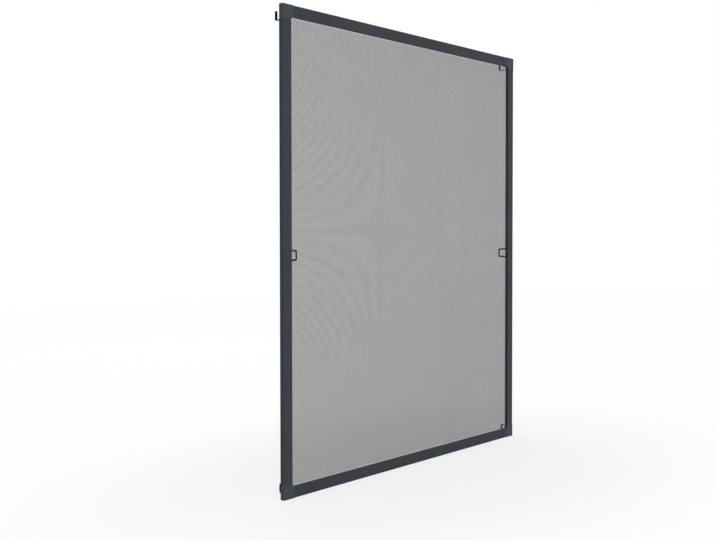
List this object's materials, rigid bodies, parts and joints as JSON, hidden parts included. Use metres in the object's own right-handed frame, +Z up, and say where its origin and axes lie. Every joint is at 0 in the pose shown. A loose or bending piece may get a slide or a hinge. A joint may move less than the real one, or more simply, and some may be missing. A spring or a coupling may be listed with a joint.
{
  "type": "window insect screen frame",
  "caption": "Rectangular window insect screen: hollow bars joined by moulded corners, mesh held by a cord in a rear groove, angled hooks and pull loops on the back.",
  "frame": {"origin": "middle of the frame in width and height, on the plane of the back face that lies against the window frame", "axes": "+X to the right seen from outside, +Y out of the back face towards the window and the room, +Z up"},
  "size_m": [1, 0.0413, 1.2],
  "materials": {
    "profile": "matt anthracite powder coat on aluminium",
    "corner": "moulded plastic in the colour of the profiles, fine satin grain",
    "mesh": "charcoal coated glass fibre weave",
    "spline": "black soft cord",
    "hook": "black coated spring steel strip",
    "loop": "black flexible plastic"
  },
  "bodies": {
    "root": {"left_stile": "profile", "right_stile": "profile", "top_rail": "profile", "bottom_rail": "profile", "corner_top_left": "corner", "corner_top_right": "corner", "corner_bottom_left": "corner", "corner_bottom_right": "corner", "mesh": "mesh", "spline_left": "spline", "spline_bottom": "spline", "spline_right": "spline", "spline_top": "spline", "hook_top_left": "hook", "hook_top_right": "hook", "hook_bottom_left": "hook", "hook_bottom_right": "hook", "handle_left": "loop", "handle_right": "loop"}
  },
  "joints": []
}
